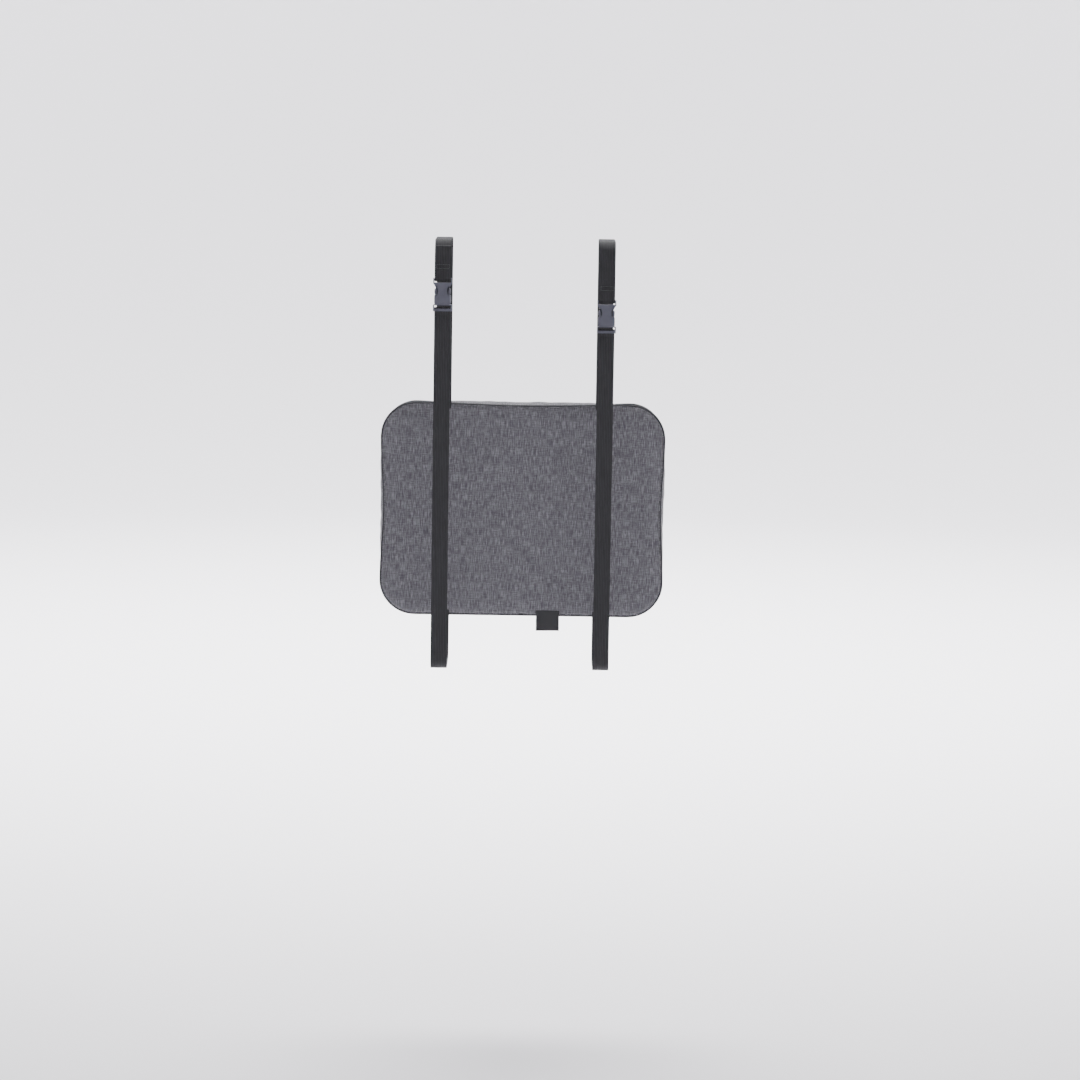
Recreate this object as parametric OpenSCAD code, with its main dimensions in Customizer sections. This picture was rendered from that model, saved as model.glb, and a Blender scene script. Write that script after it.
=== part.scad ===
// Lumbar support cushion with two elastic straps that loop round a chair's backrest.
// X is across the cushion, +Y is towards the sitter, +Z is up.
// The origin is the centre of the flat back face, which rests on the backrest.

/* [Cushion] */
// Width of the cover
cushion_w = 360; // [300:1:440]
// Height of the cover
cushion_h = 270; // [225:1:330]
// Radius of the four corners of the outline
corner_r = 42; // [36:1:50]
// Depth of the boxing band between the two seams
band_d = 50; // [44:1:70]
// Height of the padded crown in front of the front seam
crown_h = 45; // [25:1:60]
// How far the crown's flat middle lies inside the outline
crown_inset = 105; // [60:1:108]
// Thickness of the cover fabric with its backing
fabric_t = 1.2; // [0.8:0.1:1.5]
// Radius of the piping bead
piping_r = 2.2; // [1.5:0.1:3]
// Width of the seam allowance inside the cover
seam_w = 9; // [6:0.5:12]

/* [Filling] */
// Gap between the cover and the inner bag, which clears the zip slider
bag_gap = 5; // [4.5:0.5:12]
// Thickness of the inner bag's cloth
bag_t = 0.6; // [0.4:0.1:1]
// Gap between the inner bag and the foam
foam_gap = 0.4; // [0.2:0.1:2]

/* [Zip] */
// Length of the zip between its end stops
zip_l = 240; // [180:1:250]
// Width of the two closed coils together
chain_w = 6.1; // [5:0.1:7]
// Height of the coils
chain_h = 2.2; // [1.8:0.1:2.6]
// Width of one zip tape beyond its coil
tape_w = 9; // [7:0.5:10]
// Thickness of the zip tape
tape_t = 0.6; // [0.4:0.1:0.8]
// Length of the slider
slider_l = 12; // [10:0.5:14]
// Wall of the slider's plates and flanges
slider_wall = 1.2; // [0.8:0.1:1.4]
// Length of the pull tab
pull_l = 24; // [18:0.5:32]
// Width of the pull tab
pull_w = 6.4; // [6:0.1:9]

/* [Backrest that the straps pass round] */
// Thickness of the backrest
backrest_t = 90; // [60:1:130]
// How far above the cushion the edge is that the upper straps pass over
ledge_rise = 215; // [125:1:290]
// How far below the cushion the edge is that the lower straps pass under
gap_drop = 58; // [50:1:105]
// Radius of the backrest's edges
edge_r = 12; // [6:1:20]

/* [Straps] */
// Distance between the two straps, centre to centre
strap_spacing = 206; // [170:1:235]
// Width of the elastic webbing
strap_w = 20.6; // [15:0.1:25]
// Thickness of the elastic webbing
strap_t = 1.3; // [1:0.1:1.5]
// Length of webbing sewn inside each seam
anchor_l = 11; // [8:1:25]
// Length of the sewn-back end above the female buckle
loop_tail_l = 24; // [18:1:35]
// Length of the loose end below the male buckle
loose_tail_l = 62; // [30:1:90]
// How far the left buckle hangs below the upper edge of the backrest
left_buckle_drop = 52.5; // [50:0.5:300]
// How far the right buckle hangs below the upper edge of the backrest
right_buckle_drop = 77; // [50:0.5:300]

/* [Buckle] */
// Thickness of the buckle
buckle_t = 7.8; // [7.4:0.1:9]
// Space between the webbing's edge and the buckle's side walls
slot_side_gap = 0.2; // [0.1:0.1:0.6]
// Thickness of the buckle's side posts
post_w = 1.4; // [1.2:0.1:2.5]
// Length of the female body from its top edge to its mouth
female_l = 26.6; // [25:0.1:32]
// Width of the female body at its waist
waist_w = 11.4; // [9:0.1:12.5]
// Wall between the pocket and the outside at the mouth
mouth_wall = 2; // [1.6:0.1:2.6]
// Depth of the pocket that takes the arms
pocket_d = 5.2; // [4.4:0.1:5.4]
// Diameter of the bars that the webbing turns round
bar_d = 2.8; // [2.4:0.1:3.2]
// Clear height of the slot that the sewn loop passes through
loop_slot_h = 2.2; // [1.8:0.1:3]
// Clear height of the slot above the ladder-lock's inner bar
slot_h = 3; // [2.8:0.1:3.6]
// Thickness of the flexible arms
arm_t = 2; // [1.6:0.1:2.4]
// Gap between each finger button and the female body's waist
button_gap = 1.3; // [1:0.1:1.6]
// How far each arm's catch reaches behind the mouth's wall
catch_w = 1.3; // [0.8:0.1:1.5]
// Radius of the arm's root
root_r = 1.2; // [1:0.1:1.4]
// Running clearance between the buckle's own pieces
clearance = 0.1; // [0.05:0.01:0.15]

/* [Care label] */
// Width of the blank sewn-in label
label_w = 30; // [20:1:40]
// Length of the label outside the seam
label_l = 22; // [12:1:32]

/* [Hidden] */

FABRIC = "#737278";
PIPING = "#26262c";
ELASTIC = "#39393d";
ACETAL = "#4c4d58";
FOAM = "#e8dfc4";
BAG = "#e9e9e6";
ZIP = "#2c2c30";
METAL = "#3c3d42";
LABEL = "#2b2b2f";

$fn = 48;
touch = 0.05;          // space between sewn layers
arc_step = 10;         // degrees between points along a bend

// Seams, front to back
band_back_y = fabric_t + touch;
strap_y = band_back_y + strap_t / 2 + touch / 2;
allowance_t = strap_t + touch;
band_front_y = band_d;
corner_steps = 8;      // facets round each corner of a bead or crown
corner_sag = (corner_r + 2 * piping_r) * (1 - cos(45 / corner_steps));
piping_offset = piping_r + touch + corner_sag;
piping_back_y = band_back_y + allowance_t + piping_r + touch;
piping_front_y = band_front_y - piping_r + fabric_t / 2;
crown_y = band_front_y + touch;

// Zip, sewn in the middle of the bottom band
zip_y = band_d / 2;
coil_gap = 0.1;
coil_w = (chain_w - coil_gap) / 2;
bottom_z = -cushion_h / 2;
panel_inner_z = bottom_z + fabric_t;
coil_z = panel_inner_z + tape_t / 2 - chain_h / 2;
panel_edge = chain_w / 2 + 2.4;
zip_panel_l = zip_l + 10;
zip_margin = 3;         // band left between the zip panels and the front seam
slider_gap = 0.3;
stop_l = 2;
slider_x = zip_l / 2 - stop_l - slider_l / 2 - slider_gap;
slider_y = chain_w / 2 + slider_gap + slider_wall;
plate_low_z = coil_z - slider_gap - slider_wall;
plate_high_z = coil_z + chain_h + slider_gap;
bridge_l = slider_l * 0.62;
bridge_w = 2.2;
pull_pin_r = 0.8;
pull_t = 1.2;
pull_window = bridge_l / 2 + 2.4;
pull_x = slider_x;
pull_z = plate_low_z - pull_pin_r - 0.5;

// Inner bag and foam
bag_back_y = band_back_y + allowance_t + touch;
bag_seam_y = band_d / 2;
bag_crown_h = crown_h - bag_gap + fabric_t;
foam_back_y = bag_back_y + bag_t + foam_gap;
foam_inset = bag_gap + bag_t + foam_gap;

// Label
label_t = 0.6;
label_x = 20;

// Straps
ledge_z = cushion_h / 2 + ledge_rise;
gap_z = cushion_h / 2 + gap_drop;
run_gap = 0.1;         // webbing to the backrest
seam_exit = 3;         // how far each strap runs straight out of its seam
seam_run = 22;         // where it has reached the backrest
loop_lead = 6;         // length over which the webbing of a loop steps apart
tail_lead = 14;        // the same for the loose end, and the length of that step
tail_step = 20;
stitch_rise = 14;       // from the loop's bar to the first row of stitches
stitch_row_gap = 5;
stitch_t = 0.35;
front_run_y = run_gap + strap_t / 2;
rear_run_y = -backrest_t - run_gap - strap_t / 2;
turn_r = edge_r + run_gap + strap_t / 2;
layer = strap_t + 0.15;
left_x = -strap_spacing / 2;
right_x = strap_spacing / 2;

// Buckle, measured from the middle of its thickness and the female body's top edge
slot_w = strap_w + 2 * slot_side_gap;
frame_w = slot_w + 2 * post_w;
buckle_y = -backrest_t - 0.5 - buckle_t / 2;
bar_r = bar_d / 2;
loop_r = bar_r + 0.1 + strap_t / 2;
end_bar_z = loop_slot_h + bar_r;
mouth_step = 1.5;      // how far the mouth lies inside the top edge, on each side
mouth_w = frame_w - 2 * mouth_step;
pocket_w = mouth_w - 2 * mouth_wall;
pocket_top = 4.8;
post_d = 4.8;
post_rise = 0.8;       // how far the posts stand above the loop's bar
rim_h = 0.8;           // height of the straight rim along the top edge
neck_low = 9;          // where the front is narrowest
notch_top = 5.5;
notch_low = female_l - 11.4;
shoulder_low = notch_low + 2.1;
mouth_r = 1.6;         // radius of the outline's corners at the mouth
arm_root_x = pocket_w / 2 - arm_t / 2 - 0.9;
arm_root_z = -female_l + 1.2;
catch_z = -notch_low + 0.3;
arm_top_z = -pocket_top - 2.2;
arm_d = pocket_d - 0.6;
base_z = -female_l - 0.3;
base_h = 1.3;
base_draft = 0.4;      // how much narrower the base's top is, on each side
base_slope = 0.9;
lock_bar_y = 0.6;
lock_bar_z = base_z - base_h - slot_h - bar_r;
lock_end_z = lock_bar_z + 0.2;         // top of the end bar, which hides the webbing's lower half
lock_end_h = 3.2;
lock_end_d = buckle_t / 2 + lock_bar_y - loop_r - strap_t / 2 - 0.1;
grip_pitch = 2.4;      // ribs down the front of the end bar
grip_cut = 0.4;
grip_w = 0.8;
tongue_w = 2.6;
tongue_d = 2.2;

// ---- helpers ----

// Points round a rounded rectangle that lies d inside the cover's outline
function ring_points(d, r, steps = corner_steps) =
    let (w = cushion_w / 2 - d - r, h = cushion_h / 2 - d - r)
    [for (corner = [0:3]) for (i = [0:steps])
        let (a = corner * 90 + i * 90 / steps,
             cx = (corner == 0 || corner == 3) ? w : -w,
             cz = (corner < 2) ? h : -h)
        [cx + r * cos(a), cz + r * sin(a)]];

// Points along an arc
function arc_points(c, r, from, to) =
    let (n = max(2, ceil(abs(to - from) / arc_step)))
    [for (i = [0:n]) let (a = from + (to - from) * i / n) [c[0] + r * cos(a), c[1] + r * sin(a)]];

// An S-shaped step from a to b, both ends vertical
function step_points(a, b, n = 6) =
    [for (i = [0:n]) let (t = i / n) [a[0] + (b[0] - a[0]) * (1 - cos(180 * t)) / 2,
                                      a[1] + (b[1] - a[1]) * t]];

function unit(v) = v / norm(v);

// Outline of a ribbon of thickness t that follows a line of points
function ribbon(p, t) =
    let (last = len(p) - 1,
         side = [for (i = [0:last])
             let (d1 = unit(p[min(i + 1, last)] - p[min(i, last - 1)]),
                  d0 = unit(p[max(i, 1)] - p[max(i - 1, 0)]),
                  n0 = [-d0[1], d0[0]],
                  n1 = [-d1[1], d1[0]],
                  m = unit(n0 + n1))
             m * t / 2 / (m * n0)])
    concat([for (i = [0:last]) p[i] + side[i]], [for (i = [last:-1:0]) p[i] - side[i]]);

module cover_outline(d = 0) {
    r = max(corner_r - d, 1);
    w = cushion_w - 2 * d;
    h = cushion_h - 2 * d;
    square([w - 2 * r, h], center = true);
    square([w, h - 2 * r], center = true);
    for (x = [-1, 1]) for (z = [-1, 1]) translate([x * (w / 2 - r), z * (h / 2 - r)]) circle(r);
}

// Extrudes a shape drawn in X and Z from y0 to y1
module slab(y0, y1) {
    translate([0, y1, 0]) rotate([90, 0, 0]) linear_extrude(y1 - y0) children();
}

// Extrudes a shape drawn in Y and Z across a width along X
module across(w) {
    rotate([90, 0, 90]) linear_extrude(w, center = true) children();
}

// Rings of a crowned form: an optional straight wall below y0, then the crown of height h
function crown_rings(inset, y0, h, wall = 0) =
    let (steps = 7,
         flat = [for (k = [0:steps]) let (a = 90 * k / steps)
             [y0 + h * sin(a), inset + (crown_inset - inset) * (1 - cos(a)),
              (corner_r - inset) * (0.45 + 0.55 * cos(a))]],
         profile = concat(wall > 0 ? [[y0 - wall, inset, corner_r - inset]] : [], flat))
    [for (s = profile) [for (p = ring_points(s[1], s[2])) [p[0], s[0], p[1]]]];

// Solid through a stack of rings; a shell's rings run up its outside and back down its inside
module lofted(rings, shell = false) {
    n = len(rings[0]);
    m = len(rings);
    top = shell ? m / 2 - 1 : m - 1;
    sides = [for (k = [0:shell ? m - 1 : m - 2]) if (!shell || k != top) for (i = [0:n - 1])
        let (j = (i + 1) % n, up = (k + 1) % m * n)
        each [[k * n + i, k * n + j, up + j], [k * n + i, up + j, up + i]]];
    caps = [[for (i = [0:n - 1]) top * n + i], [for (i = [n - 1:-1:0]) (shell ? top + 1 : 0) * n + i]];
    polyhedron([for (ring = rings) each ring], concat(sides, caps));
}

module crowned_shell(inset, t, y0, h, wall = 0) {
    inner = crown_rings(inset + t, y0, h - t, wall);
    lofted(concat(crown_rings(inset, y0, h, wall), [for (k = [len(inner) - 1:-1:0]) inner[k]]), shell = true);
}

// Bead that runs right round the outline
module bead(y) {
    sides = 8;
    loop = [for (s = [0:sides - 1]) let (out = piping_offset + piping_r * cos(360 * s / sides))
        ring_points(-out, corner_r + out)];
    n = len(loop[0]);
    faces = [for (s = [0:sides - 1]) for (i = [0:n - 1])
        let (t = (s + 1) % sides, j = (i + 1) % n,
             a = s * n + i, b = s * n + j, c = t * n + j, d = t * n + i)
        each [[a, b, c], [a, c, d]]];
    polyhedron([for (s = [0:sides - 1]) let (py = y + piping_r * sin(360 * s / sides))
        each [for (p = loop[s]) [p[0], py, p[1]]]], faces);
}

// ---- cushion cover ----

module cover_back_panel() {
    color(FABRIC) slab(0, fabric_t) cover_outline();
}

// Wall of the band and its seam allowance, with room for the straps and the zip
module cover_boxing_band() {
    color(FABRIC) difference() {
        union() {
            slab(band_back_y, band_front_y) difference() {
                cover_outline();
                cover_outline(fabric_t);
            }
            slab(band_back_y, band_back_y + allowance_t) difference() {
                cover_outline(fabric_t / 2);
                cover_outline(seam_w);
            }
        }
        for (x = [left_x, right_x])
            translate([x - strap_w / 2 - 0.5, band_back_y - 1, -cushion_h])
                cube([strap_w + 1, allowance_t + 1, 2 * cushion_h]);
        translate([label_x - touch, band_back_y - 1, bottom_z - 1])
            cube([label_w + 2 * touch, label_t + 1 + 2 * touch, seam_w]);
        translate([-zip_panel_l / 2 - touch, band_back_y + allowance_t + touch, bottom_z - 1])
            cube([zip_panel_l + 2 * touch, band_d - zip_margin - 2 * touch - band_back_y - allowance_t,
                  fabric_t + 2]);
    }
}

module cover_front_panel() {
    color(FABRIC) crowned_shell(0, fabric_t, crown_y, crown_h);
}

module piping_back() {
    color(PIPING) bead(piping_back_y);
}

module piping_front() {
    color(PIPING) bead(piping_front_y);
}

// ---- zip ----

module zip_panel_back() {
    y0 = band_back_y + allowance_t + 2 * touch;
    color(FABRIC) translate([-zip_panel_l / 2, y0, bottom_z])
        cube([zip_panel_l, zip_y - panel_edge - y0, fabric_t]);
}

module zip_panel_front() {
    y1 = band_d - zip_margin - 2 * touch;
    color(FABRIC) translate([-zip_panel_l / 2, zip_y + panel_edge, bottom_z])
        cube([zip_panel_l, y1 - zip_y - panel_edge, fabric_t]);
}

module zip_tape_back() {
    color(ZIP) translate([-zip_panel_l / 2, zip_y - chain_w / 2 - tape_w, panel_inner_z])
        cube([zip_panel_l, tape_w, tape_t]);
}

module zip_tape_front() {
    color(ZIP) translate([-zip_panel_l / 2, zip_y + chain_w / 2, panel_inner_z])
        cube([zip_panel_l, tape_w, tape_t]);
}

// Closed coil as a bar with a rounded face; it ends inside the slider, where the coils part
module coil(side) {
    r = chain_h * 0.35;
    x0 = -zip_l / 2 + stop_l;
    x1 = slider_x + slider_l * 0.1;
    y0 = side < 0 ? zip_y - chain_w / 2 : zip_y + coil_gap / 2;
    color(ZIP) translate([(x0 + x1) / 2, 0, 0]) across(x1 - x0) difference() {
        translate([y0, coil_z]) square([coil_w, chain_h]);
        translate([y0 + (side < 0 ? coil_w : 0), coil_z]) difference() {
            square(2 * r, center = true);
            translate([side * r, r]) circle(r);
        }
    }
}

module zip_coil_back() {
    coil(-1);
}

module zip_coil_front() {
    coil(1);
}

// One crimp across both coils where the zip starts, and one on each tape where it ends
module zip_end_stops() {
    proud = 0.2;
    end_w = 1.5;
    end_in = 0.8;
    color(METAL) {
        translate([-zip_l / 2, zip_y - chain_w / 2 + touch, coil_z - proud])
            cube([stop_l - touch, chain_w - 2 * touch, chain_h + 2 * proud]);
        for (side = [-1, 1])
            translate([zip_l / 2 - stop_l, zip_y + side * (chain_w / 2 - end_in) - end_w / 2, coil_z - proud])
                cube([stop_l, end_w, chain_h + 2 * proud]);
    }
}

// Two plates joined by a wedge between the coils, with flanges over the coils and a bridge
module zip_slider() {
    neck_l = slider_l * 0.28;
    tape_gap = 0.2;
    bridge_h = 3.2;
    bridge_wall = 1;
    color(METAL) {
        translate([slider_x - slider_l / 2, zip_y - slider_y, plate_low_z])
            cube([slider_l, 2 * slider_y, slider_wall]);
        translate([slider_x - slider_l / 2, zip_y - slider_y, plate_high_z])
            cube([slider_l, 2 * slider_y, slider_wall]);
        translate([slider_x + slider_l / 2 - neck_l - 0.6, zip_y - 1, plate_low_z])
            cube([neck_l, 2, plate_high_z - plate_low_z + slider_wall]);
        for (y = [zip_y - slider_y, zip_y + slider_y - slider_wall]) {
            translate([slider_x - slider_l / 2, y, plate_low_z])
                cube([slider_l, slider_wall, panel_inner_z - tape_gap - plate_low_z]);
            translate([slider_x - slider_l / 2, y, panel_inner_z + tape_t + tape_gap])
                cube([slider_l, slider_wall, plate_high_z + slider_wall - panel_inner_z - tape_t - tape_gap]);
        }
        translate([slider_x, zip_y, 0]) rotate([90, 0, 0]) linear_extrude(bridge_w, center = true)
            difference() {
                translate([-bridge_l / 2, plate_low_z - bridge_h]) square([bridge_l, bridge_h + 0.2]);
                translate([-bridge_l / 2 + bridge_wall, plate_low_z - bridge_h + bridge_wall])
                    square([bridge_l - 2 * bridge_wall, bridge_h - bridge_wall]);
            }
    }
}

// Tab on a round pin that turns under the bridge
module zip_pull() {
    ear_w = (pull_w - bridge_w - 0.8) / 2;
    color(METAL) translate([pull_x, zip_y, pull_z]) {
        rotate([90, 0, 0]) cylinder(r = pull_pin_r, h = pull_w, center = true);
        for (y = [-pull_w / 2, pull_w / 2 - ear_w])
            translate([-pull_t / 2, y, -pull_window - 0.5]) cube([pull_t, ear_w, pull_window + 0.5]);
        rotate([90, 0, 90]) linear_extrude(pull_t, center = true) difference() {
            union() {
                translate([-pull_w / 2, -pull_l + pull_w / 2])
                    square([pull_w, pull_l - pull_w / 2 - pull_window]);
                translate([0, -pull_l + pull_w / 2]) circle(d = pull_w);
            }
            translate([0, -pull_l + pull_w / 2]) circle(d = pull_w * 0.4);
        }
    }
}

// ---- filling ----

// Tray-shaped back half of the sewn inner bag
module inner_bag_back() {
    color(BAG) {
        slab(bag_back_y, bag_back_y + bag_t) cover_outline(bag_gap);
        slab(bag_back_y, bag_seam_y - touch) difference() {
            cover_outline(bag_gap);
            cover_outline(bag_gap + bag_t);
        }
    }
}

// Front half of the inner bag: its side wall and the crowned front
module inner_bag_front() {
    color(BAG) crowned_shell(bag_gap, bag_t, band_front_y, bag_crown_h, wall = band_front_y - bag_seam_y);
}

module foam_core() {
    color(FOAM) lofted(crown_rings(foam_inset, band_front_y, bag_crown_h - bag_t - foam_gap,
                                   wall = band_front_y - foam_back_y));
}

// Blank folded label caught in the bottom seam
module care_label() {
    color(LABEL) translate([label_x, band_back_y + touch, bottom_z - label_l])
        cube([label_w, label_t, label_l + seam_w / 2]);
}

// ---- straps ----

// From the top seam, up the backrest's front, over its edge and down to the buckle's loop
function upper_path(top_z) =
    let (seam_z = cushion_h / 2, bar_z = top_z + end_bar_z, by = buckle_y,
         loop_top = bar_z + loop_tail_l + loop_lead)
    concat(
        [[strap_y, seam_z - anchor_l]],
        step_points([strap_y, seam_z + seam_exit], [front_run_y, seam_z + seam_run]),
        arc_points([-edge_r, ledge_z - edge_r], turn_r, 0, 90),
        arc_points([-backrest_t + edge_r, ledge_z - edge_r], turn_r, 90, 180),
        [for (z = [loop_top, loop_top - loop_lead, bar_z + loop_lead]) [by - layer / 2, z]],
        arc_points([by, bar_z], loop_r, 180, 360),
        [[by + layer / 2, bar_z + loop_lead], [by + layer / 2, bar_z + loop_tail_l]]);

// From the bottom seam, under the backrest, up behind the ladder-lock's end bar and over its
// inner bar, with the loose end hanging behind
function lower_path(top_z) =
    let (seam_z = -cushion_h / 2, by = buckle_y + lock_bar_y,
         bar_z = top_z + lock_bar_z, tail_z = bar_z - loose_tail_l,
         load_y = rear_run_y - layer, join_z = tail_z - tail_lead)
    concat(
        [[strap_y, seam_z + anchor_l]],
        step_points([strap_y, seam_z - seam_exit], [front_run_y, seam_z - seam_run]),
        arc_points([-edge_r, -gap_z + edge_r], turn_r, 0, -90),
        arc_points([-backrest_t + edge_r, -gap_z + edge_r], turn_r, -90, -180),
        step_points([rear_run_y, join_z - tail_step], [load_y, join_z]),
        [[load_y, bar_z - 3.5 * loop_r], [load_y - loop_r / 4, bar_z - 2.6 * loop_r]],
        arc_points([by, bar_z], loop_r, 220, 30),
        [[rear_run_y, bar_z - 1.8 * loop_r], [rear_run_y, tail_z]]);

module upper_strap(x, top_z) {
    color(ELASTIC) translate([x, 0, 0]) across(strap_w) polygon(ribbon(upper_path(top_z), strap_t));
}

module lower_strap(x, top_z) {
    color(ELASTIC) translate([x, 0, 0]) across(strap_w) polygon(ribbon(lower_path(top_z), strap_t));
}

// Two rows of thread that close the loop round the buckle's bar
module loop_stitching(x, top_z) {
    stitches = 6;
    pitch = strap_w / (stitches + 0.5);
    face_y = buckle_y - layer / 2 - strap_t / 2;
    color(PIPING) for (row = [0, 1]) for (i = [0:stitches - 1])
        translate([x - strap_w / 2 + pitch * (i + 0.5), face_y - stitch_t,
                   top_z + end_bar_z + stitch_rise + stitch_row_gap * row])
            cube([pitch * 0.7, stitch_t, 0.6]);
}

// ---- buckle ----

// Moves a buckle piece drawn about its top edge to its strap
module at_buckle(x, top_z) {
    translate([x, buckle_y, top_z]) children();
}

// Extrudes a shape drawn in X and Z to a depth about the buckle's middle
module plate(d) {
    rotate([90, 0, 0]) linear_extrude(d, center = true) children();
}

// One half of the female body's outline: rim, waist, rounded shoulder and mouth
function female_side(waist) =
    let (top = frame_w / 2, mouth = mouth_w / 2, shelf = (waist + mouth) / 2,
         mid = (notch_top + notch_low) / 2, half = (notch_low - notch_top) / 2)
    concat(
        [[top, 0]],
        [for (a = [0:9:90]) [waist + (top - waist) * (1 - sin(a)), -rim_h - (neck_low - rim_h) * a / 90]],
        [for (a = [0:10:90]) [waist + (shelf - waist) * (1 - cos(a)), -mid - half * sin(a)]],
        [for (a = [15:15:90]) [shelf + (mouth - shelf) * sin(a),
                               -notch_low - (shoulder_low - notch_low) * (1 - cos(a))]],
        arc_points([mouth - mouth_r, -female_l + mouth_r], mouth_r, 0, -90));

// Half of the female body's thickness; the front is narrow at the waist, the back is not
module female_layer(waist) {
    side = female_side(waist);
    linear_extrude(buckle_t / 2 + 0.01)
        polygon(concat(side, [for (i = [len(side) - 1:-1:0]) [-side[i][0], side[i][1]]]));
}

module female_buckle() {
    color(ACETAL) difference() {
        union() {
            translate([0, 0.01, 0]) rotate([90, 0, 0]) female_layer(waist_w / 2);
            translate([0, buckle_t / 2, 0]) rotate([90, 0, 0]) female_layer(pocket_w / 2);
            for (x = [-frame_w / 2, frame_w / 2 - post_w])
                translate([x, -post_d / 2, -0.5]) cube([post_w, post_d, end_bar_z + bar_r + post_rise + 0.5]);
            translate([0, 0, end_bar_z]) rotate([0, 90, 0]) cylinder(r = bar_r, h = frame_w, center = true);
        }
        translate([-pocket_w / 2, -pocket_d / 2, -female_l - 1])
            cube([pocket_w, pocket_d, female_l + 1 - pocket_top]);
        translate([-frame_w / 2, -pocket_d / 2, -notch_low])
            cube([frame_w, pocket_d, notch_low - pocket_top - 1]);
    }
}

// Base plate with the two root sockets, guide tongue, and the ladder-lock frame below
module male_buckle() {
    frame_low = lock_end_z - lock_end_h;
    front_y = -buckle_t / 2;
    color(ACETAL) difference() {
        union() {
            plate(buckle_t) polygon([
                [-mouth_w / 2 + base_draft, base_z], [mouth_w / 2 - base_draft, base_z],
                [frame_w / 2, base_z - base_slope], [frame_w / 2, base_z - base_h],
                [-frame_w / 2, base_z - base_h], [-frame_w / 2, base_z - base_slope]]);
            translate([-pocket_w / 2 + 0.3, -arm_d / 2, base_z - 0.5])
                cube([pocket_w - 0.6, arm_d, arm_root_z - base_z + 0.5]);
            plate(tongue_d) polygon([[-tongue_w / 2, base_z - 0.5], [tongue_w / 2, base_z - 0.5],
                [tongue_w / 2, arm_top_z - 1], [tongue_w / 4, arm_top_z], [-tongue_w / 4, arm_top_z],
                [-tongue_w / 2, arm_top_z - 1]]);
            for (x = [-frame_w / 2, frame_w / 2 - post_w])
                translate([x, front_y, frame_low])
                    cube([post_w, buckle_t / 2 + lock_bar_y + bar_r, base_z - base_h + 0.2 - frame_low]);
            translate([0, lock_bar_y, lock_bar_z]) rotate([0, 90, 0])
                cylinder(r = bar_r, h = frame_w, center = true);
            translate([-frame_w / 2, front_y, frame_low]) cube([frame_w, lock_end_d, lock_end_h]);
        }
        for (x = [-1, 1]) {
            translate([x * arm_root_x, 0, arm_root_z]) rotate([90, 0, 0])
                cylinder(r = root_r + clearance, h = buckle_t, center = true);
            translate([x * (arm_root_x + root_r + 1) - root_r - 1, -buckle_t / 2, arm_root_z])
                cube([2 * root_r + 2, buckle_t, 3]);
        }
        for (x = [-slot_w / 2 + grip_pitch:grip_pitch:slot_w / 2 - grip_pitch / 2])
            translate([x - grip_w / 2, front_y - 1, frame_low - 1])
                cube([grip_w, 1 + grip_cut, lock_end_h + 2]);
    }
}

// One flexible arm with its round root, catch and finger button; side is 1 or -1
module arm(side) {
    inner = arm_root_x - arm_t / 2;
    outer = inner + arm_t;
    lean = 0.5;
    button_in = waist_w / 2 + button_gap;
    button_r = 1.7;
    button_out = pocket_w / 2 + catch_w + 0.6;
    catch_x = pocket_w / 2 + catch_w;
    edge = 0.5;
    outline = concat(
        [[inner, arm_root_z + 0.3], [inner + lean, catch_z - 1],
         [button_in + 0.5, catch_z + 1], [button_in + 0.1, catch_z + 2.5], [button_in, catch_z + 4],
         [button_in + 0.3, arm_top_z - 1.6], [button_in + 0.9, arm_top_z - 0.4]],
        [for (a = [90:-15:0]) [button_out - button_r + button_r * cos(a), arm_top_z - 3 * (1 - sin(a))]],
        [[button_out - 0.1, catch_z + 2.5]],
        arc_points([catch_x - edge, catch_z + edge], edge, 0, -90),
        [[outer + lean, catch_z], [outer + lean, catch_z - 0.8], [outer, arm_root_z + 0.3]]);
    color(ACETAL) union() {
        plate(arm_d) polygon([for (p = outline) [side * p[0], p[1]]]);
        translate([side * arm_root_x, 0, arm_root_z]) rotate([90, 0, 0])
            cylinder(r = root_r, h = arm_d, center = true);
    }
}

left_top_z = ledge_z - left_buckle_drop;
right_top_z = ledge_z - right_buckle_drop;

module left_upper_strap() {
    upper_strap(left_x, left_top_z);
}

module right_upper_strap() {
    upper_strap(right_x, right_top_z);
}

module left_lower_strap() {
    lower_strap(left_x, left_top_z);
}

module right_lower_strap() {
    lower_strap(right_x, right_top_z);
}

module left_loop_stitching() {
    loop_stitching(left_x, left_top_z);
}

module right_loop_stitching() {
    loop_stitching(right_x, right_top_z);
}

module left_female_buckle() {
    at_buckle(left_x, left_top_z) female_buckle();
}

module right_female_buckle() {
    at_buckle(right_x, right_top_z) female_buckle();
}

module left_male_buckle() {
    at_buckle(left_x, left_top_z) male_buckle();
}

module right_male_buckle() {
    at_buckle(right_x, right_top_z) male_buckle();
}

module left_buckle_outer_arm() {
    at_buckle(left_x, left_top_z) arm(-1);
}

module left_buckle_inner_arm() {
    at_buckle(left_x, left_top_z) arm(1);
}

module right_buckle_inner_arm() {
    at_buckle(right_x, right_top_z) arm(-1);
}

module right_buckle_outer_arm() {
    at_buckle(right_x, right_top_z) arm(1);
}

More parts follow.
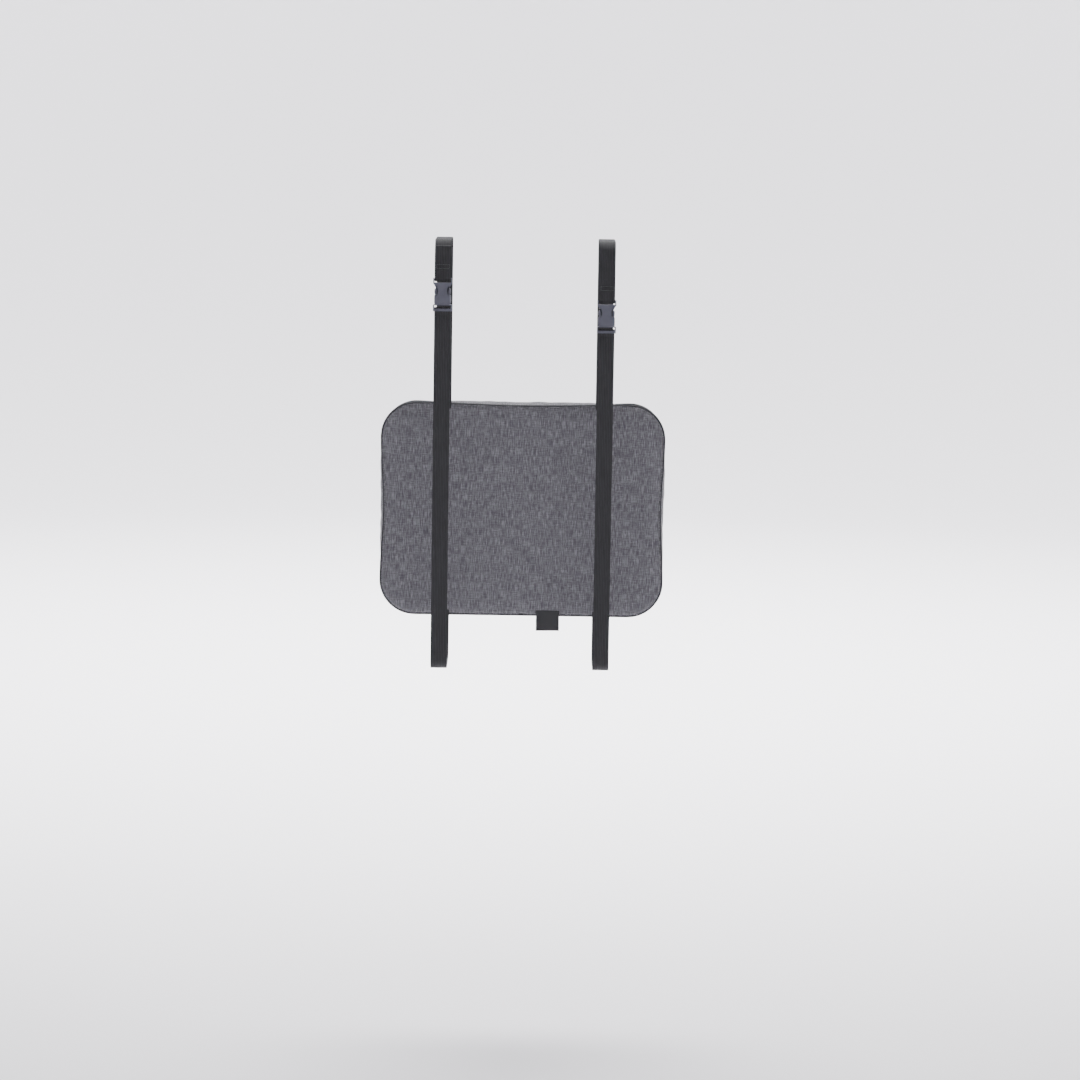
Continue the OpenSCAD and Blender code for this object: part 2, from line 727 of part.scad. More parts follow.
cover_back_panel();
cover_boxing_band();
cover_front_panel();
piping_back();
piping_front();
zip_panel_back();
zip_panel_front();
zip_tape_back();
zip_tape_front();
zip_coil_back();
zip_coil_front();
zip_end_stops();
zip_slider();
zip_pull();
inner_bag_back();
inner_bag_front();
foam_core();
care_label();
left_upper_strap();
right_upper_strap();
left_lower_strap();
right_lower_strap();
left_loop_stitching();
right_loop_stitching();
left_female_buckle();
right_female_buckle();
left_male_buckle();
right_male_buckle();
left_buckle_outer_arm();
left_buckle_inner_arm();
right_buckle_inner_arm();
right_buckle_outer_arm();
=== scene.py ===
import math

import bmesh
import bpy
from mathutils import Euler, Matrix, Vector, noise
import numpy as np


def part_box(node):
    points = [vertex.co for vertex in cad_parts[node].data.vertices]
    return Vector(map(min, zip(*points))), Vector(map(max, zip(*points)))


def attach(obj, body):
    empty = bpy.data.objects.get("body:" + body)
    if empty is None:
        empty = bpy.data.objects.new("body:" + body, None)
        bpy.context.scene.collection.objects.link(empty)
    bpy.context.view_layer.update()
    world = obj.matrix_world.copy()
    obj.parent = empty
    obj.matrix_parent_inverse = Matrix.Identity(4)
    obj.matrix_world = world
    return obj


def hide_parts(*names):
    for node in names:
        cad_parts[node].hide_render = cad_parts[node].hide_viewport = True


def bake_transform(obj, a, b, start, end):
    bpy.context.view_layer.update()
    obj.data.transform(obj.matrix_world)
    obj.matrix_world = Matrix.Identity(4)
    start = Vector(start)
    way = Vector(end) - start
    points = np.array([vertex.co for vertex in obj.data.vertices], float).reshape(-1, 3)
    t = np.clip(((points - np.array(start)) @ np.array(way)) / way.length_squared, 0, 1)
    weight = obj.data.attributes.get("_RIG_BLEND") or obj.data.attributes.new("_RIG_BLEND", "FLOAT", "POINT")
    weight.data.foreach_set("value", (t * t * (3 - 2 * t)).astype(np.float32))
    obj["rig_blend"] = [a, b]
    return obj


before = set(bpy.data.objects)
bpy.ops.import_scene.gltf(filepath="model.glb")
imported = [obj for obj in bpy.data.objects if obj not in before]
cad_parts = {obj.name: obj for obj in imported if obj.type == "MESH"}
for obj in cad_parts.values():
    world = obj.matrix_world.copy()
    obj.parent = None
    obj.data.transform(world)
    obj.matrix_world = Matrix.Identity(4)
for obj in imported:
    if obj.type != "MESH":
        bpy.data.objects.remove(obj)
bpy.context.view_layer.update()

# Camera, floor and lights: a plain pale studio, a round floor that curves up into a wall under an
# even sky. A broad light hangs overhead, a weak one stands to the camera's right, and three are
# aimed at the floor and the wall beyond the cushion.
camera_at = Vector((0.0238, -4.536, 0.563))
camera_pitch = math.radians(7.55)
camera_roll = math.radians(0.88)
camera_lens = 118.1
floor_z = -0.68

camera = bpy.data.objects.new("camera", bpy.data.cameras.new("camera"))
bpy.context.scene.collection.objects.link(camera)
camera.data.lens = camera_lens
camera.data.sensor_width = 36
camera.location = camera_at
level = Euler((math.pi / 2 - camera_pitch, 0, 0)).to_matrix()
camera.rotation_euler = (level @ Matrix.Rotation(camera_roll, 3, "Z")).to_euler()
bpy.context.scene.camera = camera


def linear(code):
    """Linear colour of an sRGB hex value."""
    parts = [int(code[i:i + 2], 16) / 255 for i in (1, 3, 5)]
    return [c / 12.92 if c <= 0.04045 else ((c + 0.055) / 1.055) ** 2.4 for c in parts] + [1]


def add(tree, kind, inputs=None, **settings):
    """Adds a shader node with its settings; an input is linked if it is a socket, and set otherwise."""
    made = tree.nodes.new("ShaderNode" + kind)
    for name, value in settings.items():
        setattr(made, name, value)
    for name, value in (inputs or {}).items():
        if isinstance(value, bpy.types.NodeSocket):
            tree.links.new(value, made.inputs[name])
        else:
            made.inputs[name].default_value = value
    return made


def new_material(name, **uniform):
    """A material with a Principled shader, whose uniform values are set on its own sockets."""
    made = bpy.data.materials.new(name)
    made.use_nodes = True
    shader = made.node_tree.nodes["Principled BSDF"]
    for socket, value in uniform.items():
        shader.inputs[socket.replace("_", " ")].default_value = value
    return made, made.node_tree, shader


def scaled(tree, value, factor, plus):
    """The output of value * factor + plus."""
    return add(tree, "Math", {0: value, 1: factor, 2: plus}, operation="MULTIPLY_ADD").outputs[0]


def two_tone(tree, shader, share, dark, light):
    """A base colour that runs from a dark tone to a light one as a texture says."""
    shade = add(tree, "MixRGB", {"Fac": share, "Color1": linear(dark), "Color2": linear(light)})
    tree.links.new(shade.outputs["Color"], shader.inputs["Base Color"])


def bumped(tree, shader, height, strength, distance):
    """A fine relief on the surface that follows a texture."""
    bump = add(tree, "Bump", {"Strength": strength, "Distance": distance, "Height": height})
    tree.links.new(bump.outputs["Normal"], shader.inputs["Normal"])


def new_object(name, verts, faces, material):
    """A mesh object in the row frame, with one material."""
    mesh = bpy.data.meshes.new(name)
    mesh.from_pydata([tuple(v) for v in verts], [], faces)
    mesh.materials.append(material)
    mesh.polygons.foreach_set("use_smooth", [True] * len(mesh.polygons))
    made = bpy.data.objects.new(name, mesh)
    bpy.context.scene.collection.objects.link(made)
    return made


floor_paint, tree, shader = new_material("matt studio floor paint", Roughness=0.9)
mottle = add(tree, "TexNoise", {"Scale": 2.0, "Detail": 2.0})
two_tone(tree, shader, mottle.outputs["Fac"], "#efeef2", "#f2f1f4")
disc_r, floor_r, curve_r, wall_h, floor_sides = 0.6, 5.4, 1.6, 3.4, 64
profile = [(disc_r, floor_z), (floor_r, floor_z)] \
    + [(floor_r + curve_r * math.sin(math.radians(t)), floor_z + curve_r * (1 - math.cos(math.radians(t))))
       for t in range(6, 91, 6)] + [(floor_r + curve_r, floor_z + wall_h)]
verts = [(r * math.cos(2 * math.pi * k / floor_sides), r * math.sin(2 * math.pi * k / floor_sides), z)
         for r, z in profile for k in range(floor_sides)]
faces = [(r * floor_sides + k, (r + 1) * floor_sides + k,
          (r + 1) * floor_sides + (k + 1) % floor_sides, r * floor_sides + (k + 1) % floor_sides)
         for r in range(len(profile) - 1) for k in range(floor_sides)]
floor = new_object("floor", verts, faces + [tuple(range(floor_sides))], floor_paint)

world = bpy.data.worlds.new("studio")
bpy.context.scene.world = world
world.use_nodes = True
sky = world.node_tree.nodes["Background"]
sky.inputs["Color"].default_value = linear("#f4f3f6")
sky.inputs["Strength"].default_value = 0.85

# each lamp's place, what it is aimed at, its size, watts, and spread in degrees
aims = {"overhead": ((0.3, -1.3, 2.7), (0, -0.1, 0.1), 1.4, 15, 180),
        "key": ((1.9, -3.2, 1.9), (0, 0, 0.1), 1.2, 6, 180),
        "wall left": ((-3.4, 2.6, 2.9), (-1.6, 7.0, 0.7), 2.4, 270, 180),
        "wall right": ((3.4, 2.6, 2.9), (1.6, 7.0, 0.7), 2.4, 270, 180),
        "floor": ((0, 2.5, 4.6), (0, 2.6, -0.7), 3.4, 260, 75)}
for name, (place, aim, size, watts, spread) in aims.items():
    lamp = bpy.data.objects.new(name, bpy.data.lights.new(name, "AREA"))
    bpy.context.scene.collection.objects.link(lamp)
    lamp.data.size = size
    lamp.data.energy = watts
    lamp.data.spread = math.radians(spread)
    lamp.location = place
    lamp.rotation_euler = (Vector(aim) - Vector(place)).to_track_quat("-Z", "Y").to_euler()

# Elastic webbing: woven polyester over rubber cords, which stand up as lengthwise ribs. Each strap
# is an upper piece, sewn into the top seam, and a lower piece, sewn into the bottom seam.
web_t = 0.0013
web_ribs = 10
rib_height = 0.00012
web_step = 0.0018
web_edge = 0.0007          # how far in from its edge the webbing thins
web_edge_share = 0.05      # what is left of its thickness at the edge, to either side
web_w_mm = 20.6

# dark and light ends of the webbing's colour: the yarn's own tone, plus painted shade in the valleys between
# ribs and a painted highlight on their crests
ELASTIC_DARK_TONE_AND_VALLEY_SHADE = "#0f0f11"
ELASTIC_LIGHT_TONE_AND_CREST_HIGHLIGHT = "#38383c"
pick_pitch = 1.1           # mm between crossing threads, drawn coarser than the real 0.5 mm

elastic, tree, shader = new_material("woven elastic webbing", Roughness=0.8, Sheen_Weight=0.08)
across = add(tree, "Attribute", attribute_name="across_mm").outputs["Fac"]
along = add(tree, "Attribute", attribute_name="along_mm").outputs["Fac"]
rib_pitch = web_w_mm / web_ribs
rib_turns = add(tree, "Math", {0: across, 1: 2 * math.pi / rib_pitch}, operation="MULTIPLY")
rib = add(tree, "Math", {0: rib_turns.outputs[0]}, operation="COSINE")
rib_number = add(tree, "Math", {0: across, 1: 1 / rib_pitch}, operation="MULTIPLY")
whole_rib = add(tree, "Math", {0: rib_number.outputs[0]}, operation="ROUND")
pick_turns = add(tree, "Math", {0: along, 1: 2 * math.pi / pick_pitch}, operation="MULTIPLY")
shift = scaled(tree, whole_rib.outputs[0], math.pi, pick_turns.outputs[0])
pick = add(tree, "Math", {0: shift}, operation="SINE")
place = add(tree, "CombineXYZ", {"X": across, "Y": along})
stretch_marks = add(tree, "Mapping", {"Vector": place.outputs[0], "Scale": (1.1, 0.035, 1)})
streaks = add(tree, "TexNoise", {"Vector": stretch_marks.outputs[0], "Scale": 1.0, "Detail": 3.0})
fuzz = add(tree, "TexNoise", {"Vector": place.outputs[0], "Scale": 1.6, "Detail": 2.0})
# the rib term is painted shade and highlight: each rib's crest is lighter and the valley between ribs darker;
# the weft, streak and fuzz terms are the yarn's own tone
lift = scaled(tree, rib.outputs[0], 0.20, 0.32)
lift = scaled(tree, pick.outputs[0], 0.10, lift)
lift = scaled(tree, streaks.outputs["Fac"], 0.55, lift)
lift = scaled(tree, fuzz.outputs["Fac"], 0.35, lift)
lift = add(tree, "Math", {0: lift, 1: -0.36}, operation="ADD", use_clamp=True).outputs[0]
two_tone(tree, shader, lift, ELASTIC_DARK_TONE_AND_VALLEY_SHADE, ELASTIC_LIGHT_TONE_AND_CREST_HIGHLIGHT)
grain = scaled(tree, rib.outputs[0], 0.6, pick.outputs[0])
bumped(tree, shader, grain, 0.45, 0.00016)


def sheet_faces(across, down):
    """Faces of a sheet whose points run down one column after another."""
    corners = [i * (down + 1) + j for i in range(across) for j in range(down)]
    return [(a, a + 1, a + down + 2, a + down + 1) for a in corners]


def arc(centre, radius, start, end, step=6):
    """Points in (y, z) along an arc, in degrees."""
    count = max(2, round(abs(end - start) / step))
    return [Vector((centre[0] + radius * math.cos(math.radians(start + (end - start) * i / count)),
                    centre[1] + radius * math.sin(math.radians(start + (end - start) * i / count))))
            for i in range(count + 1)]


def ease(a, b, count=10):
    """Points from a to b that leave and arrive along z."""
    return [Vector((a[0] + (b[0] - a[0]) * (1 - math.cos(math.pi * i / count)) / 2,
                    a[1] + (b[1] - a[1]) * i / count)) for i in range(count + 1)]


def resampled(points, step):
    """The same line with evenly spaced points, so that every pick of the weave is as long."""
    lengths = [0]
    for a, b in zip(points, points[1:]):
        lengths.append(lengths[-1] + (b - a).length)
    count = round(lengths[-1] / step)
    made, k = [], 0
    for i in range(count + 1):
        at = lengths[-1] * i / count
        while k < len(points) - 2 and lengths[k + 1] < at:
            k += 1
        t = (at - lengths[k]) / (lengths[k + 1] - lengths[k])
        made.append(points[k].lerp(points[k + 1], t))
    return made, lengths[-1]


def smoothed(points, rounds=2):
    """The same line with its corners eased; both ends stay."""
    for _ in range(rounds):
        points = [points[0]] + [(a + 2 * b + c) / 4 for a, b, c in zip(points, points[1:], points[2:])] \
            + [points[-1]]
    return points


def webbing(name, path, x, width):
    """A ribbed flat strap that follows a path in (y, z), with its place across and along in mm."""
    line, length = resampled(path, web_step)
    line = smoothed(line)
    per_rib = 6
    half = [-width / 2 + width * i / (web_ribs * per_rib) for i in range(web_ribs * per_rib + 1)]

    def height(u):
        near = min(1, (width / 2 - abs(u)) / web_edge)
        crest = math.cos(2 * math.pi * u / (width / web_ribs))
        rounding = math.sqrt(max(0, 1 - (1 - near) ** 2))
        return (web_t / 2 - rib_height + rib_height * crest) * rounding * (1 - 2 * web_edge_share) \
            + web_t * web_edge_share

    section = [(u, height(u)) for u in half] + [(u, -height(u)) for u in reversed(half)]
    verts, marks = [], []
    for i, p in enumerate(line):
        d = (line[min(i + 1, len(line) - 1)] - line[max(i - 1, 0)]).normalized()
        normal = Vector((-d[1], d[0]))
        for u, h in section:
            verts.append((x + u, p[0] + normal[0] * h, p[1] + normal[1] * h))
            marks.append((u * 1000, length * 1000 * i / (len(line) - 1)))
    n = len(section)
    faces = [(k * n + i, k * n + (i + 1) % n, (k + 1) * n + (i + 1) % n, (k + 1) * n + i)
             for k in range(len(line) - 1) for i in range(n)]
    faces += [tuple(reversed(range(n))), tuple(range((len(line) - 1) * n, len(line) * n))]
    made = new_object(name, verts, faces, elastic)
    for k, mark in enumerate(("across_mm", "along_mm")):
        layer = made.data.attributes.new(mark, "FLOAT", "POINT")
        layer.data.foreach_set("value", [m[k] for m in marks])
    return made, length


backrest_t = 0.090         # between the two runs of each strap
edge = 0.012               # radius of the backrest's edges
run_gap = 0.0001
layer_gap = 0.00015
bar_r = 0.0014
post_rise = 0.0008
loose_tail = 0.062
base_gap, base_h, slot_h = 0.0003, 0.0013, 0.003
sewn_in = 0.010            # how far a strap reaches into the cushion past its seam
leave, meet = 0.002, 0.024  # where a strap leaves its seam and meets the backrest, past the seam
sewn_loop = 0.030          # from the bar to the top of the loop that holds the female half
loop_rise, loop_fall = 0.014, 0.004
by_bar = 0.006
loop_end = 0.024
lock_in = 0.0006
tail_from, tail_to = 0.034, 0.014
seam = 0.135               # height of the two seams above and below the cushion's middle
seam_y = 0.0026

strap = {}
for side in ("left", "right"):
    low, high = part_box(side + "_upper_strap")
    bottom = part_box(side + "_lower_strap")[0][2]
    female_low, female_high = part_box(side + "_female_buckle")
    x, width = (low[0] + high[0]) / 2, high[0] - low[0]
    run = run_gap + web_t / 2                      # middle of the webbing to the backrest
    back = -backrest_t - run
    turn = edge + run
    layer = web_t + layer_gap
    ledge = high[2] - run - web_t / 2
    gap = bottom + run + web_t / 2
    buckle_y = (female_low[1] + female_high[1]) / 2
    bar_z = female_high[2] - post_rise - bar_r
    loop = bar_r + run_gap + web_t / 2
    top_of_loop = bar_z + sewn_loop
    upper = [Vector((seam_y, seam - sewn_in))] + ease((seam_y, seam + leave), (run, seam + meet)) \
        + arc((-edge, ledge - edge), turn, 0, 90) + arc((-backrest_t + edge, ledge - edge), turn, 90, 180) \
        + ease((back, top_of_loop + loop_rise), (buckle_y - layer / 2, top_of_loop - loop_fall)) \
        + [Vector((buckle_y - layer / 2, bar_z + by_bar))] + arc((buckle_y, bar_z), loop, 180, 360, 15) \
        + [Vector((buckle_y + layer / 2, bar_z + height)) for height in (by_bar, loop_end)]
    lock_y = buckle_y + lock_in
    lock_z = female_low[2] - base_gap - base_h - slot_h - bar_r
    load = back - layer
    tail_end = lock_z - loose_tail
    lower = [Vector((seam_y, -seam + sewn_in))] + ease((seam_y, -seam - leave), (run, -seam - meet)) \
        + arc((-edge, gap + edge), turn, 0, -90) + arc((-backrest_t + edge, gap + edge), turn, -90, -180) \
        + ease((back, tail_end - tail_from), (load, tail_end - tail_to)) \
        + [Vector((load, lock_z - 3.6 * loop)), Vector((load - loop / 6, lock_z - 2.9 * loop))] \
        + arc((lock_y, lock_z), loop, 220, 30, 15) \
        + [Vector((back, lock_z - 1.8 * loop)), Vector((back, tail_end))]
    for part, path in (("upper", upper), ("lower", lower)):
        name = f"{side}_{part}_elastic"
        made, length = webbing(name, path, x, width)
        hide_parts(f"{side}_{part}_strap")
        strap[name] = made
    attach(strap[f"{side}_upper_elastic"], "root")
    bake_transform(strap[f"{side}_lower_elastic"], "root", side + "_male",
             start=(x, back, -0.12), end=(x, back, tail_end - 0.006))

# Side-release buckles: each half is moulded in acetal, with softened edges and a satin skin.
# The female half is sewn in the upper strap's loop; the male half's ladder-lock grips the lower one.
edge_round = 0.0012
male_round = 0.0006
rim_drop = 0.0058          # from a female half's top down to the rim that is rounded most
rim_reach = 0.0002
flat_angle = math.radians(2)
sharp_angle = math.radians(35)

acetal, tree, shader = new_material("injection-moulded acetal", Roughness=0.42, IOR=1.48,
                                    Coat_Weight=0.25, Coat_Roughness=0.25)
spot = add(tree, "TexCoord").outputs["Object"]
skin = add(tree, "TexNoise", {"Vector": spot, "Scale": 900.0, "Detail": 3.0})
flow = add(tree, "TexNoise", {"Vector": spot, "Scale": 90.0, "Detail": 2.0})
two_tone(tree, shader, flow.outputs["Fac"], "#484954", "#575865")
satin = add(tree, "MapRange", {"Value": flow.outputs["Fac"], "To Min": 0.36, "To Max": 0.5})
tree.links.new(satin.outputs["Result"], shader.inputs["Roughness"])
bumped(tree, shader, skin.outputs["Fac"], 0.2, 0.00005)


def softened(name, node, body, material, width, rim=None, share=0.5):
    """A copy of a hard CAD part with rounded edges, which stands for it; an edge at the height rim is
    rounded by the whole width and the others by a share of it."""
    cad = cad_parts[node]
    mesh = cad.data.copy()
    work = bmesh.new()
    work.from_mesh(mesh)
    bmesh.ops.remove_doubles(work, verts=work.verts, dist=1e-6)
    bmesh.ops.dissolve_limit(work, angle_limit=flat_angle, verts=work.verts, edges=work.edges)
    weight = work.edges.layers.float.new("bevel_weight_edge")
    for edge in work.edges:
        if len(edge.link_faces) == 2 and edge.calc_face_angle_signed(0) > sharp_angle:
            heights = [(cad.matrix_world @ v.co)[2] for v in edge.verts]
            on_rim = rim is not None and all(abs(z - rim) < rim_reach for z in heights)
            edge[weight] = 1 if on_rim else share
    work.to_mesh(mesh)
    work.free()
    for layer in list(mesh.attributes):
        if layer.name.startswith("custom_normal"):
            mesh.attributes.remove(layer)
    mesh.materials.clear()
    mesh.materials.append(material)
    mesh.polygons.foreach_set("use_smooth", [True] * len(mesh.polygons))
    made = bpy.data.objects.new(name, mesh)
    bpy.context.scene.collection.objects.link(made)
    bevel = made.modifiers.new("rounded edges", "BEVEL")
    bevel.width = width
    bevel.segments = 3
    bevel.limit_method = "WEIGHT"
    bevel.harden_normals = True
    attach(made, body)
    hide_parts(node)
    return made


for side in ("left", "right"):
    top_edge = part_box(side + "_female_buckle")[1][2] - rim_drop
    softened(side + "_female_half", side + "_female_buckle", "root", acetal, edge_round, top_edge)
    softened(side + "_male_half", side + "_male_buckle", side + "_male", acetal, male_round)
    for which in ("outer", "inner"):
        softened(f"{side}_{which}_finger", f"{side}_buckle_{which}_arm", f"{side}_{which}_arm",
                 acetal, edge_round)

# Loop stitching: black bonded polyester thread, two rows across the strap just above each female
# half and one down either side between them, which hold its loop shut.
thread_r = 0.00026
row_in, side_in = 0.0003, 0.0012
proud = 0.0001

thread, tree, shader = new_material("bonded polyester thread", Roughness=0.55, Sheen_Weight=0.2)
twist = add(tree, "TexWave", {"Vector": add(tree, "TexCoord").outputs["Object"], "Scale": 900.0,
                              "Distortion": 1.0}, bands_direction="DIAGONAL")
two_tone(tree, shader, twist.outputs["Fac"], "#1c1c20", "#303036")


def tube(points, radius, sides=6, closed=False, up=Vector((0, 0, 1))):
    """Vertices and faces of a round tube along points."""
    n = len(points)
    verts, faces = [], []
    side_way = None
    for i, p in enumerate(points):
        ahead = points[(i + 1) % n] if closed or i < n - 1 else p
        behind = points[i - 1] if closed or i > 0 else p
        d = (ahead - behind).normalized()
        a = d.cross(up) if side_way is None else side_way - d * side_way.dot(d)
        a = a.normalized() if a.length > 1e-6 else d.orthogonal().normalized()
        side_way = a
        b = d.cross(a)
        r = radius[i] if hasattr(radius, "__len__") else radius
        for s in range(sides):
            t = 2 * math.pi * s / sides
            verts.append(p + a * math.cos(t) * r + b * math.sin(t) * r)
    for i in range(n if closed else n - 1):
        j = (i + 1) % n
        for s in range(sides):
            t = (s + 1) % sides
            faces.append((i * sides + s, i * sides + t, j * sides + t, j * sides + s))
    if not closed:
        faces += [tuple(reversed(range(sides))), tuple(range((n - 1) * sides, n * sides))]
    return verts, faces


def stitches(name, rows, normal, radius=thread_r, share=0.74, pitch=0.003):
    """Rows of short arched stitches; each row runs from one point to another on a face."""
    verts, faces = [], []
    for a, b in rows:
        count = max(1, round((b - a).length / pitch))
        step = (b - a) / count
        for i in range(count):
            start = a + step * (i + (1 - share) / 2)
            arch = [start + step * share * t + normal * (radius * 1.1 * math.sin(math.pi * t) - radius * 0.35)
                    for t in (0, 0.12, 0.3, 0.5, 0.7, 0.88, 1)]
            v, f = tube(arch, radius, up=normal)
            faces += [tuple(k + len(verts) for k in face) for face in f]
            verts += v
    return new_object(name, verts, faces, thread)


for side in ("left", "right"):
    low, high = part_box(side + "_loop_stitching")
    face_y = high[1] + proud
    rows = [(Vector((low[0] + side_in, face_y, z)), Vector((high[0] - side_in, face_y, z)))
            for z in (low[2] + row_in, high[2] - row_in)]
    rows += [(Vector((x, face_y, low[2] + row_in)), Vector((x, face_y, high[2] - row_in)))
             for x in (low[0] + side_in, high[0] - side_in)]
    made = stitches(side + "_loop_thread", rows, Vector((0, -1, 0)), pitch=0.0024)
    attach(made, "root")
    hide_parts(side + "_loop_stitching")

# Cushion cover: woven heather-grey polyester with a linen look, cut as a back panel, a boxing band
# and a crowned front panel. The filling pushes it out, and its seams pull its sides in.
cover_t = 0.0012
columns, rows_up = 60, 46
corner_r = 0.042
back_seam_y = 0.0034
front_seam_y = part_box("cover_boxing_band")[1][1]
band_depths = [back_seam_y, 0.008, 0.0138, 0.0195, 0.025, 0.0305, 0.0365, 0.0432, front_seam_y]
start_crown = 0.034
crown_flat, crown_fall = 2.4, 0.62
back_round = 0.010
side_pull = 0.0035
top_pull = side_pull * 0.7
fill_cap = 0.012           # the furthest that the filling may push a point
even_rounds = 6
pucker_h, pucker_size, pucker_reach = 0.0022, 75, 0.016
hollow_h, hollow_size = 0.0022, 11
band_wave = 0.0013

half_w = (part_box("cover_back_panel")[1][0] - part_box("cover_back_panel")[0][0]) / 2
half_h = (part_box("cover_back_panel")[1][2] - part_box("cover_back_panel")[0][2]) / 2
zip_half = half_w * 0.7
zip_low, zip_high = 0.0195, 0.0305
zip_margin = 0.008
bottom_reach = 0.002

cloth, tree, shader = new_material("woven melange polyester", Roughness=0.92, Sheen_Weight=0.35,
                                   Sheen_Roughness=0.5, Specular_IOR_Level=0.25)
place = add(tree, "Attribute", attribute_name="cloth_mm").outputs["Vector"]
warp_scale = add(tree, "Mapping", {"Vector": place, "Scale": (0.95, 0.085, 1)})
weft_scale = add(tree, "Mapping", {"Vector": place, "Scale": (0.10, 0.95, 1)})
warp_yarn, weft_yarn = [add(tree, "TexNoise", {"Vector": scale.outputs[0], "Scale": 1.0, "Detail": 2.0,
                                               "Roughness": 0.6}) for scale in (warp_scale, weft_scale)]
blotch = add(tree, "TexNoise", {"Vector": place, "Scale": 0.05, "Detail": 2.0})
parts = add(tree, "SeparateXYZ", {"Vector": place})
thread_pitch = 1.3         # mm between yarns, drawn coarser than the real 0.6 mm
turns = [add(tree, "Math", {0: parts.outputs[k], 1: 2 * math.pi / thread_pitch}, operation="MULTIPLY")
         for k in ("X", "Y")]
warp_wave, weft_wave = [add(tree, "Math", {0: t.outputs[0]}, operation="SINE") for t in turns]
weave = add(tree, "Math", {0: warp_wave.outputs[0], 1: weft_wave.outputs[0]}, operation="MULTIPLY")
fleck = scaled(tree, warp_yarn.outputs["Fac"], 1.25, -0.30)
fleck = scaled(tree, weft_yarn.outputs["Fac"], 0.65, fleck)
fleck = scaled(tree, weave.outputs[0], 0.10, fleck)
fleck = scaled(tree, blotch.outputs["Fac"], 0.15, fleck)
ramp = add(tree, "ValToRGB", {"Fac": fleck})
ramp.color_ramp.elements[0].position = 0.42
ramp.color_ramp.elements[0].color = linear("#434248")
ramp.color_ramp.elements[1].position = 1.0
ramp.color_ramp.elements[1].color = linear("#88878d")
middle = ramp.color_ramp.elements.new(0.70)
middle.color = linear("#5e5d62")
tree.links.new(ramp.outputs["Color"], shader.inputs["Base Color"])
relief = scaled(tree, warp_yarn.outputs["Fac"], 1.2, weave.outputs[0])
bumped(tree, shader, relief, 0.5, 0.00022)


def on_outline(u, v):
    """A point of the panel for u and v from -1 to 1, and how near it is to the panel's edge."""
    m = max(abs(u), abs(v))
    p = Vector((u * half_w, v * half_h))
    if m < 1e-6:
        return p, 0
    rim = p / m
    core = Vector((max(abs(rim[0]) - (half_w - corner_r), 0), max(abs(rim[1]) - (half_h - corner_r), 0)))
    if core[0] > 0 and core[1] > 0:
        # pull the rectangle's corner back onto the rounded corner, along the line to its centre
        centre = Vector((half_w - corner_r, half_h - corner_r))
        on = centre + core.normalized() * corner_r
        target = Vector((math.copysign(on[0], rim[0]), math.copysign(on[1], rim[1])))
        p = p.lerp(target * m, m ** 4)
    sides = side_pull * math.cos(math.pi / 2 * min(1, abs(p[1]) / (half_h - corner_r))) ** 2 * m ** 4
    top = top_pull * math.cos(math.pi / 2 * min(1, abs(p[0]) / (half_w - corner_r))) ** 2 * m ** 4
    if abs(u) > abs(v):
        p[0] -= math.copysign(sides, p[0])
    elif v > 0:
        p[1] -= top
    return p, m


def edge_distance(m):
    return (1 - m) * half_h


grid = [(i, j) for j in range(rows_up + 1) for i in range(columns + 1)]
start = []
for layer in ("back", "front"):
    for i, j in grid:
        p, m = on_outline(-1 + 2 * i / columns, -1 + 2 * j / rows_up)
        if layer == "back":
            t = max(0, 1 - edge_distance(m) / back_round)
            y = back_seam_y * t * t * (3 - 2 * t)
        else:
            y = front_seam_y + start_crown * (1 - m ** crown_flat) ** crown_fall
        start.append(Vector((p[0], y, p[1])))


def at(layer, i, j):
    return (layer == "front") * len(grid) + j * (columns + 1) + i


def grid_faces(layer):
    made = [(at(layer, i, j), at(layer, i + 1, j), at(layer, i + 1, j + 1), at(layer, i, j + 1))
            for j in range(rows_up) for i in range(columns)]
    return made if layer == "back" else [tuple(reversed(f)) for f in made]


middle_column = columns // 2
loop_round = [(i, 0) for i in range(middle_column, columns)] + [(columns, j) for j in range(rows_up)] \
    + [(i, rows_up) for i in range(columns, 0, -1)] + [(0, j) for j in range(rows_up, 0, -1)] \
    + [(i, 0) for i in range(middle_column)]
around = len(loop_round)
rings = [[at("back", i, j) for i, j in loop_round]]
for y in band_depths[1:-1]:
    first = len(start)
    start += [Vector((start[k][0], y, start[k][2])) for k in rings[0]]
    rings.append(list(range(first, first + around)))
rings.append([at("front", i, j) for i, j in loop_round])
ring_cells = [[(rings[r][k], rings[r][(k + 1) % around], rings[r + 1][(k + 1) % around], rings[r + 1][k])
               for k in range(around)] for r in range(len(rings) - 1)]
band_cells = [cell for row in ring_cells for cell in row]


